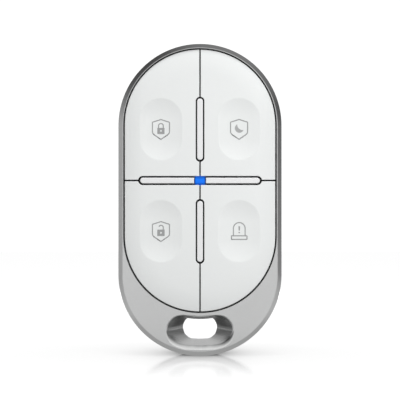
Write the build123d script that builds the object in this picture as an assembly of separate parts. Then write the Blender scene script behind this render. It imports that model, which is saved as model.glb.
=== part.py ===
from build123d import *
import math
import os

# Alarm key fob: a flat pill-shaped remote control with four press keys and a key-ring eye.
# Frame: +Z along the fob's length (the eye is at the bottom), the keys face -Y, X is the width.
# The origin is the middle of the fob's outline at its lowest point, on the mid plane of its depth.
# All values in millimetres.

# ---- outline -------------------------------------------------------------
LENGTH = 66.0            # overall length, Z
WIDTH = 34.5             # overall width, X
R_OUT = WIDTH / 2        # both ends are full half circles
Y_FRONT = -6.0           # front of the dividers, the foremost surface
Y_RIM = -5.85            # front face of the frame
Y_BACK = 6.0             # back face of the frame and the cover
BEVEL = 0.85             # 45 degree bevel between the frame's faces and its side wall
BEVEL_R = 0.25           # small radius where the bevel meets a face

# ---- key field (a second, shorter pill near the top) ---------------------
ZC_LOW = 25.32           # centre of its lower half circle
ZC_TOP = 48.86           # centre of its upper half circle
R_POCKET = 16.22         # pocket in the frame
R_KEYS = 15.88           # outline of the four keys together
Z_CROSS = 37.09          # level of the cross seam and of the cross dividers
SEAM_V = 0.28            # width of the vertical seam between keys
SEAM_H = 0.32            # width of the horizontal seam between keys
Y_KEY = -5.93            # front of the keys
KEY_T = 1.33             # thickness of the keys
Y_KEY_BACK = Y_KEY + KEY_T
TRAVEL = 0.30            # key travel, into the fob (+Y)

# ---- dividers ------------------------------------------------------------
DIV_HALF = 0.62          # half width of each divider
DIV_GAP = 0.285          # clearance between divider and keys
CROSS_HALF = 0.60        # half width of the cross dividers, and their clearance
CROSS_GAP = 0.35
DIV_UP = (41.44, 54.41)  # upper divider, lowest and highest point
DIV_LOW = (19.91, 32.77)
DIV_X = (1.24, 12.63)    # cross dividers, inner and outer end
SLOT_UP = (41.045, 54.755)  # opening between the keys for each divider, a little longer than the divider
SLOT_LOW = (19.52, 33.17)
SLOT_X = 13.06

# ---- status lens ---------------------------------------------------------
LENS_X = 1.10
LENS_Z = 0.66

# ---- finger dishes and key centres ----------------------------------------
DISH_X = 8.24
DISH_Z_UP = 47.94
DISH_Z_LOW = 26.40
DISH_W = 8.9
DISH_H = 13.1
DISH_D = 0.42

# ---- stack along the depth -------------------------------------------------
Y_DECK = (-4.10, -3.30)     # button deck under the keys
Y_LEDGE = (-3.30, -0.90)    # inner ledge of the frame
R_LEDGE = 12.0              # opening of the ledge
Y_MAT = (-3.28, -2.90)      # silicone mat
Y_BOARD = (-0.90, -0.10)    # circuit board
R_BOARD = 14.9
R_CAVITY = 15.2             # rear cavity in the frame
Y_STEP = 4.60               # seat of the gasket
Y_GASKET = (4.60, 4.90)
Y_COVER = (4.90, 6.00)

# ---- coin cell -------------------------------------------------------------
CELL_R = 10.0
CELL_T = 3.2
CELL_Z = 31.0
Y_CELL = 0.40

# ---- screws ----------------------------------------------------------------
COVER_SCREW_AT = (10.4, 16.6)
BOARD_SCREW_X = 13.6
BOARD_SCREW_Z = (31.0, 43.3)

# ---- key-ring eye ------------------------------------------------------------
EYE_AT = 5.41            # height of the point that the mouth and the lip are measured from
# distances from that point every ten degrees, from straight up round to straight down
MOUTH = (3.19, 3.25, 3.49, 3.85, 4.38, 5.28, 6.18, 6.76, 7.16, 7.25, 7.12, 6.97, 6.45, 5.81, 5.26, 4.77, 4.39, 4.22, 4.17)
LIP_END = (2.75, 2.79, 2.97, 3.30, 3.91, 4.80, 5.71, 6.30, 6.70, 6.77, 6.50, 5.95, 5.28, 4.52, 3.95, 3.49, 3.30, 3.19, 3.13)
# the throat's outline, right half; its upper edge runs concentric with the key field
THROAT = [(0.0, 7.40), (0.53, 7.41), (1.13, 7.44), (1.81, 7.49), (2.67, 7.60), (3.05, 7.29), (3.34, 6.84), (3.60, 6.21),
          (3.65, 5.53), (3.48, 4.86), (3.26, 4.27), (2.82, 3.82), (2.39, 3.47), (1.89, 3.26), (1.38, 3.20), (0.96, 3.18),
          (0.46, 3.14), (0.0, 3.14)]
D_LIP = 0.33             # depth of the rounded lip below the face
Y_THROAT = (2.2, 3.2)    # the eye's straight throat, nearer to the back

os.makedirs("parts", exist_ok=True)


def prism(sketch, y0, y1):
    """A flat outline in X and Z, from depth y0 to depth y1."""
    return extrude(Plane.XZ.offset(-y1) * sketch, amount=y1 - y0)


def pill(r, z_low, z_high):
    """A pill-shaped outline from z_low to z_high with half circles of radius r."""
    return Pos(0, (z_low + z_high) / 2) * SlotOverall(z_high - z_low, 2 * r, rotation=90)


def key_pill(r):
    """The key field's outline, offset to radius r."""
    return pill(r, ZC_LOW - r, ZC_TOP + r)


def block(x0, x1, y0, y1, z0, z1):
    return Pos((x0 + x1) / 2, (y0 + y1) / 2, (z0 + z1) / 2) * Box(x1 - x0, y1 - y0, z1 - z0)


def rod(r, x, z, y0, y1):
    """A round rod along Y."""
    return Pos(x, (y0 + y1) / 2, z) * Rot(90, 0, 0) * Cylinder(r, y1 - y0)


def bar_pill(half, a, b, vertical=True):
    """A narrow round-ended bar outline: half its width, and its two ends."""
    if vertical:
        return Pos(0, (a + b) / 2) * SlotOverall(b - a, 2 * half, rotation=90)
    return Pos((a + b) / 2, Z_CROSS) * SlotOverall(b - a, 2 * half)


def save(name, shape):
    solids = shape.solids()
    whole = solids[0] if len(solids) == 1 else Compound(children=list(solids))
    whole.label = name
    export_step(whole, f"parts/{name}.step")


# ---------------------------------------------------------------------------
# Key-ring eye: a short straight throat, with a deep flare to the front and a shallow one to the back
# ---------------------------------------------------------------------------
def whole(half):
    """A closed outline, symmetric about X = 0, from its right half."""
    return half + [(-x, z) for x, z in reversed(half[1:-1])]


def around(table):
    out = []
    for k, r in enumerate(table):
        a = math.radians(90 - 10 * k)
        x = 0.0 if k in (0, len(table) - 1) else r * math.cos(a)
        out.append((x, EYE_AT + r * math.sin(a)))
    return whole(out)


def outline_at(points, y):
    plane = Plane.XZ.offset(-y)
    curve = Spline(*[plane.from_local_coords((x, z, 0)) for x, z in points], periodic=True)
    return make_face(Wire([curve.edge()]) if not isinstance(curve, Wire) else curve)


def resample(points, n):
    """n points evenly turned round the eye on a smooth closed curve, the first straight up."""
    curve = Spline(*points, periodic=True)
    fine = [curve.position_at(i / 2000) for i in range(2000)]
    turn = sorted((math.atan2(p.X, p.Y - EYE_AT) % (2 * math.pi), p.X, p.Y) for p in fine)
    turn = [(turn[-1][0] - 2 * math.pi, *turn[-1][1:])] + turn + [(turn[0][0] + 2 * math.pi, *turn[0][1:])]
    out = []
    for i in range(n):
        a = 2 * math.pi * i / n
        k = next(j for j in range(1, len(turn)) if turn[j][0] >= a)
        p, q = turn[k - 1], turn[k]
        t = (a - p[0]) / (q[0] - p[0])
        out.append((p[1] + (q[1] - p[1]) * t, p[2] + (q[2] - p[2]) * t))
    return out


N_LOFT = 36
eye_pts = resample(whole(THROAT), N_LOFT)
mouth_pts = resample(around(MOUTH), N_LOFT)
lip_pts = resample(around(LIP_END), N_LOFT)


def lip_at(t):
    """The lip's rounding between the face (t = 0) and the funnel (t = 1): outline and depth below the face."""
    return [(a[0] + (w[0] - a[0]) * t, a[1] + (w[1] - a[1]) * t) for a, w in zip(mouth_pts, lip_pts)], D_LIP * t * t


def funnel(face, side, end):
    """The flared mouth in the face at depth face, side = -1 at the front and 1 at the back, down to depth end."""
    sections = [outline_at(mouth_pts, face + side * 0.001)]
    for t in (0.35, 0.65, 1.0):
        pts, d = lip_at(t)
        sections.append(outline_at(pts, face - side * d))
    sections.append(outline_at(eye_pts, end))
    return loft(sections, ruled=True)


def eye_cut():
    y0, y1 = Y_THROAT
    throat = extrude(outline_at(eye_pts, y1 + 0.05), amount=y1 - y0 + 0.1, dir=(0, -1, 0))
    return throat + funnel(Y_RIM, -1, y0 + 0.002) + funnel(Y_BACK, 1, y1 - 0.002)


# ---------------------------------------------------------------------------
# Frame
# ---------------------------------------------------------------------------
def front_frame():
    body = prism(pill(R_OUT, 0, LENGTH), Y_RIM, Y_BACK)
    rims = body.edges().filter_by(lambda e: abs(e.center().Y - Y_RIM) < 1e-6 or abs(e.center().Y - Y_BACK) < 1e-6)
    body = chamfer(rims, BEVEL)
    inner = body.edges().filter_by(lambda e: abs(e.center().Y - Y_RIM) < 1e-6 or abs(e.center().Y - Y_BACK) < 1e-6)
    body = fillet(inner, BEVEL_R)
    body -= prism(key_pill(R_POCKET), Y_RIM - 1, Y_LEDGE[0])
    body -= prism(key_pill(R_LEDGE), Y_LEDGE[0] - 0.1, Y_LEDGE[1] + 0.1)
    body -= prism(key_pill(R_CAVITY), Y_LEDGE[1], Y_STEP + 0.1)
    body -= prism(key_pill(R_POCKET), Y_STEP, Y_BACK + 1)
    # columns that take the cover screws
    for s in (-1, 1):
        x, z = s * COVER_SCREW_AT[0], COVER_SCREW_AT[1]
        column = rod(2.2, x, z, Y_LEDGE[1] - 0.05, 4.0) & prism(key_pill(R_CAVITY + 0.3), -3, 5)
        column -= prism(key_pill(R_LEDGE), -3, Y_LEDGE[1])
        body += column
        body -= rod(1.0, x, z, -0.4, 4.2)
    # clearance holes for the deck's bosses
    for s in (-1, 1):
        for z in BOARD_SCREW_Z:
            body -= rod(1.15, s * BOARD_SCREW_X, z, Y_LEDGE[0] - 0.1, Y_LEDGE[1] + 0.1)
        # undercut pockets for the cover's tongues
        body -= block(s * 5.0 - 1.35, s * 5.0 + 1.35, 3.55, 4.55, 62.0, 63.85)
    body -= eye_cut()
    return body


# ---------------------------------------------------------------------------
# Keys
# ---------------------------------------------------------------------------
def dish(x, z, y_face):
    """A shallow finger dish: a large round-ended cylinder that touches into the key's face."""
    half = DISH_W / 2
    r = (half * half + DISH_D * DISH_D) / (2 * DISH_D)
    yc = y_face + DISH_D - r
    straight = DISH_H - DISH_W
    mid = Pos(x, yc, z) * Cylinder(r, straight)
    mid += Pos(x, yc, z + straight / 2) * Sphere(r)
    mid += Pos(x, yc, z - straight / 2) * Sphere(r)
    return mid & block(x - half, x + half, y_face - 1, y_face + 2, z - DISH_H / 2, z + DISH_H / 2)


def key_cap(upper):
    """The left-hand key, upper or lower."""
    z0, z1 = (Z_CROSS + SEAM_H / 2, 80) if upper else (-10, Z_CROSS - SEAM_H / 2)
    sk = key_pill(R_KEYS) & (Pos(-20 - SEAM_V / 2, (z0 + z1) / 2) * Rectangle(40, z1 - z0))
    span = SLOT_UP if upper else SLOT_LOW
    sk -= bar_pill(DIV_HALF + DIV_GAP, span[0], span[1])
    sk -= bar_pill(CROSS_HALF + CROSS_GAP, -SLOT_X, 3.0, vertical=False)
    cap = prism(sk, Y_KEY, Y_KEY_BACK)
    try:
        front = cap.edges().filter_by(lambda e: abs(e.center().Y - Y_KEY) < 1e-6)
        cap = fillet(front, 0.12)
    except Exception:
        pass
    zc = DISH_Z_UP if upper else DISH_Z_LOW
    cap -= dish(-DISH_X, zc, Y_KEY)
    # relief over the lens flange
    cap -= block(-2.4, 1, Y_KEY_BACK - 0.45, Y_KEY_BACK + 1, Z_CROSS - 1.7, Z_CROSS + 1.7)
    # boss that presses the pad
    cap += rod(1.5, -DISH_X, zc, Y_KEY_BACK - 0.1, -3.55)
    # two snap legs that hold the key in the deck
    for z in leg_z(upper):
        cap += block(-DISH_X - 0.55, -DISH_X + 0.55, Y_KEY_BACK - 0.1, -2.95, z - 0.3, z + 0.3)
        cap += block(-DISH_X - 0.55, -DISH_X + 0.55, -3.27, -2.95, z - 0.3, z + 0.62)
    return cap


def leg_z(upper):
    return (40.6, 54.9) if upper else (18.9, 33.4)


# ---------------------------------------------------------------------------
# Dividers and lens
# ---------------------------------------------------------------------------
def divider_vertical(span):
    bar = prism(bar_pill(DIV_HALF, *span), Y_FRONT, Y_DECK[0])
    front = bar.edges().filter_by(lambda e: abs(e.center().Y - Y_FRONT) < 1e-6)
    bar = fillet(front, 0.12)
    for z in (span[0] + 2.6, span[1] - 2.6):
        bar += rod(0.45, 0, z, Y_DECK[0] - 0.1, Y_DECK[1])
    return bar


def divider_cross():
    """The left-hand half of the cross divider: round at its outer end, square at the lens."""
    sk = bar_pill(CROSS_HALF, -DIV_X[1], 3.0, vertical=False) & (
        Pos(-10 - DIV_X[0], Z_CROSS) * Rectangle(20, 4)
    )
    bar = prism(sk, Y_FRONT, Y_DECK[0])
    front = bar.edges().filter_by(lambda e: abs(e.center().Y - Y_FRONT) < 1e-6)
    bar = fillet(front, 0.12)
    # foot of the lens flange
    bar -= block(-2.0, 0, -4.45, -4.0, Z_CROSS - 2, Z_CROSS + 2)
    for x in (-3.6, -10.2):
        bar += rod(0.45, x, Z_CROSS, Y_DECK[0] - 0.1, Y_DECK[1])
    return bar


def status_lens():
    head = block(-LENS_X, LENS_X, Y_FRONT + 0.02, -4.4, Z_CROSS - LENS_Z, Z_CROSS + LENS_Z)
    front = head.edges().filter_by(lambda e: abs(e.center().Y - Y_FRONT - 0.02) < 1e-6)
    head = fillet(front, 0.12)
    flange = block(-1.7, 1.7, -4.4, Y_DECK[0], Z_CROSS - 1.15, Z_CROSS + 1.15)
    stem = block(-1.0, 1.0, Y_DECK[0], -1.8, Z_CROSS - 0.6, Z_CROSS + 0.6)
    return head + flange + stem


# ---------------------------------------------------------------------------
# Deck, mat, pads
# ---------------------------------------------------------------------------
KEYS = {
    "arm": (-1, True),
    "night": (1, True),
    "disarm": (-1, False),
    "panic": (1, False),
}


def key_centre(name):
    s, upper = KEYS[name]
    return s * DISH_X, (DISH_Z_UP if upper else DISH_Z_LOW)


def leg_slots(y0, y1, grow):
    cut = None
    for name, (s, upper) in KEYS.items():
        for z in leg_z(upper):
            b = block(s * DISH_X - 0.7 - grow, s * DISH_X + 0.7 + grow, y0, y1, z - 0.45 - grow, z + 0.78 + grow)
            cut = b if cut is None else cut + b
    return cut


def button_deck():
    deck = prism(key_pill(R_POCKET - 0.10), *Y_DECK)
    for name in KEYS:
        x, z = key_centre(name)
        deck -= rod(2.2, x, z, -5, -3)
    # leg slots: the hook's lip lands on the deck's back face beside each slot
    for name, (s, upper) in KEYS.items():
        for z in leg_z(upper):
            deck -= block(s * DISH_X - 0.65, s * DISH_X + 0.65, -5, -3, z - 0.40, z + 0.36)
    deck -= block(-1.1, 1.1, -5, -3, Z_CROSS - 0.7, Z_CROSS + 0.7)
    for span in (DIV_UP, DIV_LOW):
        for z in (span[0] + 2.6, span[1] - 2.6):
            deck -= rod(0.47, 0, z, -5, -3)
    for s in (-1, 1):
        for x in (3.6, 10.2):
            deck -= rod(0.47, s * x, Z_CROSS, -5, -3)
        for z in BOARD_SCREW_Z:
            deck += rod(1.0, s * BOARD_SCREW_X, z, Y_DECK[1] - 0.1, Y_LEDGE[1] - 0.1)
            deck -= rod(0.62, s * BOARD_SCREW_X, z, Y_DECK[1] + 0.2, Y_LEDGE[1])
    return deck


def key_mat():
    mat = prism(key_pill(R_LEDGE - 0.2), *Y_MAT)
    ring = prism(key_pill(R_LEDGE - 0.2), Y_MAT[1] - 0.1, Y_BOARD[0] - 0.05)
    ring -= prism(key_pill(R_LEDGE - 0.95), Y_MAT[0] - 1, 0)
    for name in KEYS:
        x, z = key_centre(name)
        mat -= rod(2.3, x, z, -4, -2)
    mat -= leg_slots(-4, -2, 0.15)
    mat -= block(-1.3, 1.3, -4, -2, Z_CROSS - 0.9, Z_CROSS + 0.9)
    return mat + ring


def pad(name):
    x, z = key_centre(name)
    return rod(2.0, x, z, -3.55, -2.95) + rod(1.3, x, z, -2.95, -2.72)


# ---------------------------------------------------------------------------
# Tactile switches on the board's front
# ---------------------------------------------------------------------------
def plunger(name):
    x, z = key_centre(name)
    return rod(0.9, x, z, -2.72, -1.72) + rod(1.35, x, z, -2.20, -2.00)


def snap_dome(name):
    """A thin tactile dome whose crown just meets the plunger."""
    x, z = key_centre(name)
    rim, h, t = 1.65, 0.50, 0.07
    r = (rim * rim + h * h) / (2 * h)
    yc = -1.70 + r
    shell = Pos(x, yc, z) * Sphere(r) - Pos(x, yc, z) * Sphere(r - t)
    return shell & block(x - 3, x + 3, -2.0, -1.70 + h, z - 3, z + 3)


def switch_bases():
    out = []
    for name in KEYS:
        x, z = key_centre(name)
        b = block(x - 2.25, x + 2.25, -2.2, Y_BOARD[0], z - 2.25, z + 2.25)
        b -= rod(1.8, x, z, -2.3, -1.18)
        out.append(b)
    return Compound(children=out)


def switch_covers():
    out = []
    for name in KEYS:
        x, z = key_centre(name)
        c = block(x - 2.4, x + 2.4, -2.38, -1.3, z - 2.4, z + 2.4)
        c -= block(x - 2.27, x + 2.27, -2.23, 0, z - 2.27, z + 2.27)
        c -= rod(1.0, x, z, -3, -2)
        out.append(c)
    return Compound(children=out)


# ---------------------------------------------------------------------------
# Board and what it carries
# ---------------------------------------------------------------------------
def circuit_board():
    sk = key_pill(R_BOARD)
    board = prism(sk, *Y_BOARD)
    for s in (-1, 1):
        board -= rod(2.45, s * COVER_SCREW_AT[0], COVER_SCREW_AT[1], -2, 1)
        board -= block(s * 11.6 - 2.6, s * 11.6 + 2.6, -2, 1, 8.0, COVER_SCREW_AT[1])
        for z in BOARD_SCREW_Z:
            board -= rod(0.75, s * BOARD_SCREW_X, z, -2, 1)
    return board


def chip(x, z, w, h, t, back=True):
    y0, y1 = (Y_BOARD[1], Y_BOARD[1] + t) if back else (Y_BOARD[0] - t, Y_BOARD[0])
    return block(x - w / 2, x + w / 2, y0, y1, z - h / 2, z + h / 2)


def antenna():
    """A round wire loop that stands off the board along its top edge, on two legs."""
    r, w, y = 12.6, 0.35, 1.5
    ring = Pos(0, y, ZC_TOP) * Rot(90, 0, 0) * Torus(r, w)
    ring &= Pos(0, y, ZC_TOP + 10 + 1.5) * Box(40, 4, 20)
    legs = None
    for s in (-1, 1):
        x = s * math.sqrt(r * r - 1.5 * 1.5)
        leg = rod(w, x, ZC_TOP + 1.5, Y_BOARD[1], y)
        legs = leg if legs is None else legs + leg
    return ring + legs


def small_parts():
    spots = [(-6.5, 49.4, 1.6, 0.8), (-6.5, 47.2, 1.0, 0.5), (-4.6, 54.0, 1.0, 0.5), (4.9, 54.4, 1.0, 0.5),
             (0.0, 55.0, 0.5, 1.0), (2.4, 55.4, 0.5, 1.0), (-2.6, 44.9, 1.0, 0.5), (2.9, 44.9, 1.0, 0.5),
             (8.6, 46.2, 2.0, 1.25), (-9.2, 52.4, 1.6, 0.8)]
    return Compound(children=[chip(x, z, w, h, 0.5) for x, z, w, h in spots])


def battery_holder():
    ring = rod(11.3, 0, CELL_Z, Y_BOARD[1], 2.7) - rod(CELL_R + 0.15, 0, CELL_Z, 0.15, 3)
    ring -= block(-4.4, 4.4, -1, 3, CELL_Z - 3, CELL_Z + 3)
    ring -= block(-3.0, 3.0, 0.15, 3, CELL_Z + 6, CELL_Z + 13)
    ring -= block(-4.5, 4.5, 1.2, 3, CELL_Z - 13, CELL_Z - 8)
    ring -= block(-3.0, 3.0, -1, 3, CELL_Z + 10.25, CELL_Z + 13)
    return ring


def contact_negative():
    base = block(-3.6, 3.6, Y_BOARD[1], 0.1, CELL_Z - 1.9, CELL_Z + 1.9)
    leaf = block(-2.4, 2.4, 0.1, 0.25, CELL_Z - 1.2, CELL_Z + 1.2)
    tip = block(-1.6, 1.6, 0.25, Y_CELL, CELL_Z - 0.8, CELL_Z + 0.8)
    return base + leaf + tip


def contact_positive():
    top = block(-2.5, 2.5, Y_CELL + CELL_T, Y_CELL + CELL_T + 0.2, CELL_Z - 1.0, CELL_Z + 10.7)
    leg = block(-2.5, 2.5, Y_BOARD[1], Y_CELL + CELL_T + 0.2, CELL_Z + 10.5, CELL_Z + 10.7)
    foot = block(-2.5, 2.5, Y_BOARD[1], Y_BOARD[1] + 0.2, CELL_Z + 10.5, CELL_Z + 12.2)
    return top + leg + foot


def coin_cell():
    can = rod(CELL_R, 0, CELL_Z, Y_CELL + 0.25, Y_CELL + CELL_T)
    edge = can.edges().filter_by(lambda e: abs(e.center().Y - (Y_CELL + CELL_T)) < 1e-6)
    can = fillet(edge, 0.4)
    lid = rod(8.9, 0, CELL_Z, Y_CELL, Y_CELL + 0.3)
    return can + lid


# ---------------------------------------------------------------------------
# Screws: one round head with a cross recess, and a shank
# ---------------------------------------------------------------------------
def screw(x, z, y_head, head_r, head_t, shank_r, length, recess):
    head = rod(head_r, x, z, y_head - head_t, y_head)
    rim = head.edges().filter_by(lambda e: abs(e.center().Y - y_head) < 1e-6)
    head = fillet(rim, head_t * 0.3)
    body = head + rod(shank_r, x, z, y_head - head_t - length, y_head - head_t)
    half = recess / 2
    body -= block(x - half, x + half, y_head - head_t * 0.6, y_head + 1, z - half * 0.28, z + half * 0.28)
    body -= block(x - half * 0.28, x + half * 0.28, y_head - head_t * 0.6, y_head + 1, z - half, z + half)
    return body


def cover_screws():
    return Compound(children=[
        screw(s * COVER_SCREW_AT[0], COVER_SCREW_AT[1], 5.86, 1.75, 0.70, 0.95, 4.6, 2.1) for s in (-1, 1)
    ])


def board_screws():
    out = []
    for s in (-1, 1):
        for z in BOARD_SCREW_Z:
            out.append(screw(s * BOARD_SCREW_X, z, Y_BOARD[1] + 0.5, 1.15, 0.5, 0.60, 2.6, 1.3))
    return Compound(children=out)


# ---------------------------------------------------------------------------
# Rear cover, gasket, foam pad
# ---------------------------------------------------------------------------
def rear_cover():
    cover = prism(key_pill(R_POCKET - 0.18), *Y_COVER)
    rim = cover.edges().filter_by(lambda e: abs(e.center().Y - Y_COVER[1]) < 1e-6)
    cover = fillet(rim, 0.25)
    skirt = prism(key_pill(R_CAVITY - 0.15), 4.05, Y_COVER[0] + 0.1) - prism(key_pill(R_CAVITY - 1.1), 3, 5.5)
    cover += skirt
    for s in (-1, 1):
        x, z = s * COVER_SCREW_AT[0], COVER_SCREW_AT[1]
        cover += rod(2.2, x, z, 4.05, Y_COVER[0] + 0.1) & prism(key_pill(R_CAVITY - 0.15), 3, 6)
        cover -= rod(1.10, x, z, 3, 7)
        cover -= rod(1.90, x, z, 5.14, 7)
        # tongue that hooks under the frame at the top
        cover += block(s * 5.0 - 1.2, s * 5.0 + 1.2, 3.70, 4.40, 61.9, 63.65)
        cover += block(s * 5.0 - 1.2, s * 5.0 + 1.2, 3.70, 4.95, 61.9, 62.6)
    # shallow bare label field
    cover -= prism(Pos(0, 41.0) * RectangleRounded(17.0, 22.0, 2.0), Y_COVER[1] - 0.12, Y_COVER[1] + 1)
    return cover


def cover_gasket():
    return prism(key_pill(R_POCKET - 0.12), *Y_GASKET) - prism(key_pill(R_CAVITY + 0.05), 4, 6)


def cell_pad():
    return prism(Pos(0, CELL_Z - 1) * RectangleRounded(10, 10, 1), Y_CELL + CELL_T + 0.22, Y_COVER[0])


# ---------------------------------------------------------------------------
# Write every piece
# ---------------------------------------------------------------------------
save("front_frame", front_frame())
save("rear_cover", rear_cover())
save("cover_gasket", cover_gasket())
save("cover_screws", cover_screws())

cap_upper, cap_lower = key_cap(True), key_cap(False)
save("button_arm", cap_upper)
save("button_night", mirror(cap_upper, about=Plane.YZ))
save("button_disarm", cap_lower)
save("button_panic", mirror(cap_lower, about=Plane.YZ))

save("divider_upper", divider_vertical(DIV_UP))
save("divider_lower", divider_vertical(DIV_LOW))
cross = divider_cross()
save("divider_left", cross)
save("divider_right", mirror(cross, about=Plane.YZ))
save("status_lens", status_lens())

save("button_deck", button_deck())
save("key_mat", key_mat())
for key in KEYS:
    save(f"pad_{key}", pad(key))
    save(f"plunger_{key}", plunger(key))
    save(f"snap_dome_{key}", snap_dome(key))
save("switch_bases", switch_bases())
save("switch_covers", switch_covers())

save("circuit_board", circuit_board())
save("radio_chip", chip(0.0, 50.0, 5.0, 5.0, 0.85))
save("crystal", chip(6.6, 50.6, 3.2, 2.5, 0.7))
save("antenna", antenna())
save("status_led", chip(0.0, Z_CROSS, 1.6, 0.8, 0.6, back=False))
save("small_parts", small_parts())
save("board_screws", board_screws())

save("battery_holder", battery_holder())
save("contact_negative", contact_negative())
save("contact_positive", contact_positive())
save("coin_cell", coin_cell())
save("cell_pad", cell_pad())
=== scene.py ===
import bpy
import math
import numpy as np
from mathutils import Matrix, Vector
from mathutils.geometry import delaunay_2d_cdt


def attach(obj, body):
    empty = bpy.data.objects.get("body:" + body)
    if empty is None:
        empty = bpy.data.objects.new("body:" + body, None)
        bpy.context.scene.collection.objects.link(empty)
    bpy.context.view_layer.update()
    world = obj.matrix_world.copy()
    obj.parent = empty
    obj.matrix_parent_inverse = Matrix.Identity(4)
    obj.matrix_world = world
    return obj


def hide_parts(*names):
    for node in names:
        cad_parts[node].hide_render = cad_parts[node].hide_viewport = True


# Alarm key fob, upright, keys towards -Y. Lengths in this file are millimetres until a mesh is made.
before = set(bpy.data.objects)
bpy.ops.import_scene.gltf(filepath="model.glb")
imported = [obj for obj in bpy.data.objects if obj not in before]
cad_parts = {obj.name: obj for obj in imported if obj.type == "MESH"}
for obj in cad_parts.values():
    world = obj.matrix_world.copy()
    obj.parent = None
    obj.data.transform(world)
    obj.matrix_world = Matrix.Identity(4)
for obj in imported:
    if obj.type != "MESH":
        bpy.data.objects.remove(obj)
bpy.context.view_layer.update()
scene = bpy.context.scene
MM = 0.001

# ---------------------------------------------------------------------------
# Sizes, the same as the CAD's
# ---------------------------------------------------------------------------
R_OUT, Z_OUT0, Z_OUT1 = 17.25, 17.25, 48.75
Y_RIM, Y_BACK, BEVEL, BEVEL_R, BEVEL_R2 = -5.85, 6.0, 0.85, 0.25, 0.15
ZC_LOW, ZC_TOP = 25.32, 48.86
R_POCKET, R_KEYS, R_LEDGE, R_CAVITY, R_COVER = 16.19, 15.89, 12.0, 15.2, 16.0
Z_CROSS, SEAM_V, SEAM_H = 37.09, 0.28, 0.32
Y_KEY, Y_KEY_BACK = -5.93, -4.60
DIV_HALF, DIV_GAP, CROSS_HALF, CROSS_GAP = 0.62, 0.285, 0.60, 0.35
DIV_UP, DIV_LOW, DIV_X = (41.44, 54.41), (19.91, 32.77), (1.24, 12.63)
SLOT_UP, SLOT_LOW, SLOT_X = (41.045, 54.755), (19.52, 33.17), 13.06
LENS_X, LENS_Z = 1.10, 0.66
DISH_X, DISH_Z_UP, DISH_Z_LOW, DISH_W, DISH_H, DISH_D = 8.24, 47.94, 26.40, 8.9, 13.1, 0.42
CROWN_D, CROWN_W = 0.33, 4.6


# ---------------------------------------------------------------------------
# Mesh collector: shared corners, exact corner normals
# ---------------------------------------------------------------------------
class Shape:
    def __init__(self, flip=False):
        self.flip = flip            # True mirrors front to back
        self.index, self.co, self.faces, self.normals, self.slots = {}, [], [], [], []

    def corner(self, p):
        key = (round(p[0] * 2e4), round(p[1] * 2e4), round(p[2] * 2e4))
        i = self.index.get(key)
        if i is None:
            i = len(self.co)
            self.index[key] = i
            self.co.append((p[0] * MM, p[1] * MM, p[2] * MM))
        return i

    def face(self, pts, nors, slot=0):
        if self.flip:
            pts = [(p[0], -p[1], p[2]) for p in pts]
            nors = [(n[0], -n[1], n[2]) for n in nors]
        ids = [self.corner(p) for p in pts]
        keep = [k for k in range(len(ids)) if ids[k] not in ids[:k]]
        if len(keep) < 3:
            return
        ids = [ids[k] for k in keep]
        pts = [pts[k] for k in keep]
        nors = [nors[k] for k in keep]
        a = np.subtract(pts[1], pts[0])
        b = np.subtract(pts[-1], pts[0])
        g = np.cross(a, b)
        if len(pts) == 4:
            g = np.cross(np.subtract(pts[2], pts[0]), np.subtract(pts[3], pts[1]))
        if np.dot(g, np.sum(nors, axis=0)) < 0:
            ids.reverse()
            nors.reverse()
        self.faces.append(ids)
        self.normals.append(nors)
        self.slots.append(slot)

    def strip(self, a, b, na, nb, closed=True, slot=0):
        n = len(a)
        for i in range(n if closed else n - 1):
            j = (i + 1) % n
            self.face([a[i], a[j], b[j], b[i]], [na[i], na[j], nb[j], nb[i]], slot)

    def rings(self, rows, normals, closed=True, slot=0):
        for k in range(len(rows) - 1):
            self.strip(rows[k], rows[k + 1], normals[k], normals[k + 1], closed, slot)

    def make(self, name, materials, body, replaced=()):
        me = bpy.data.meshes.new(name)
        me.from_pydata(self.co, [], self.faces)
        me.polygons.foreach_set("use_smooth", [True] * len(me.polygons))
        me.polygons.foreach_set("material_index", self.slots)
        for m in materials:
            me.materials.append(m)
        flat = []
        for nors in self.normals:
            for n in nors:
                v = np.asarray(n, float)
                flat.append(tuple(v / max(np.linalg.norm(v), 1e-12)))
        me.normals_split_custom_set(flat)
        me.update()
        ob = bpy.data.objects.new(name, me)
        scene.collection.objects.link(ob)
        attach(ob, body)
        if replaced:
            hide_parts(*replaced)
        return ob


def at(points, y):
    return [(p[0], y, p[1]) for p in points]


def tilt(normals, side, front):
    """3-D normals from flat outward normals: side along them, front towards -Y."""
    return [(n[0] * side, -front, n[1] * side) for n in normals]


# ---------------------------------------------------------------------------
# Outlines: lists of (points, outward normals) in X and Z
# ---------------------------------------------------------------------------
def arc(cx, cz, r, a0, a1, n, inward=False):
    t = np.linspace(a0, a1, n + 1)
    s = -1 if inward else 1
    return ([(cx + r * math.cos(a), cz + r * math.sin(a)) for a in t],
            [(s * math.cos(a), s * math.sin(a)) for a in t])


def line(p, q, normal, n=1):
    return ([(p[0] + (q[0] - p[0]) * i / n, p[1] + (q[1] - p[1]) * i / n) for i in range(n + 1)], [normal] * (n + 1))


def pill(r, z0=ZC_LOW, z1=ZC_TOP, n=46, side=26):
    """A closed pill outline about the centres z0 and z1."""
    pi = math.pi
    parts = [arc(0, z0, r, -pi / 2, 0, n), line((r, z0), (r, z1), (1, 0), side), arc(0, z1, r, 0, pi, 2 * n),
             line((-r, z1), (-r, z0), (-1, 0), side), arc(0, z0, r, pi, 1.5 * pi, n)]
    pts, nors = [], []
    for p, m in parts:
        pts += p[:-1]
        nors += m[:-1]
    return pts, nors


def circle(cx, cz, r, n=48):
    p, m = arc(cx, cz, r, 0, 2 * math.pi, n)
    return p[:-1], m[:-1]


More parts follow.
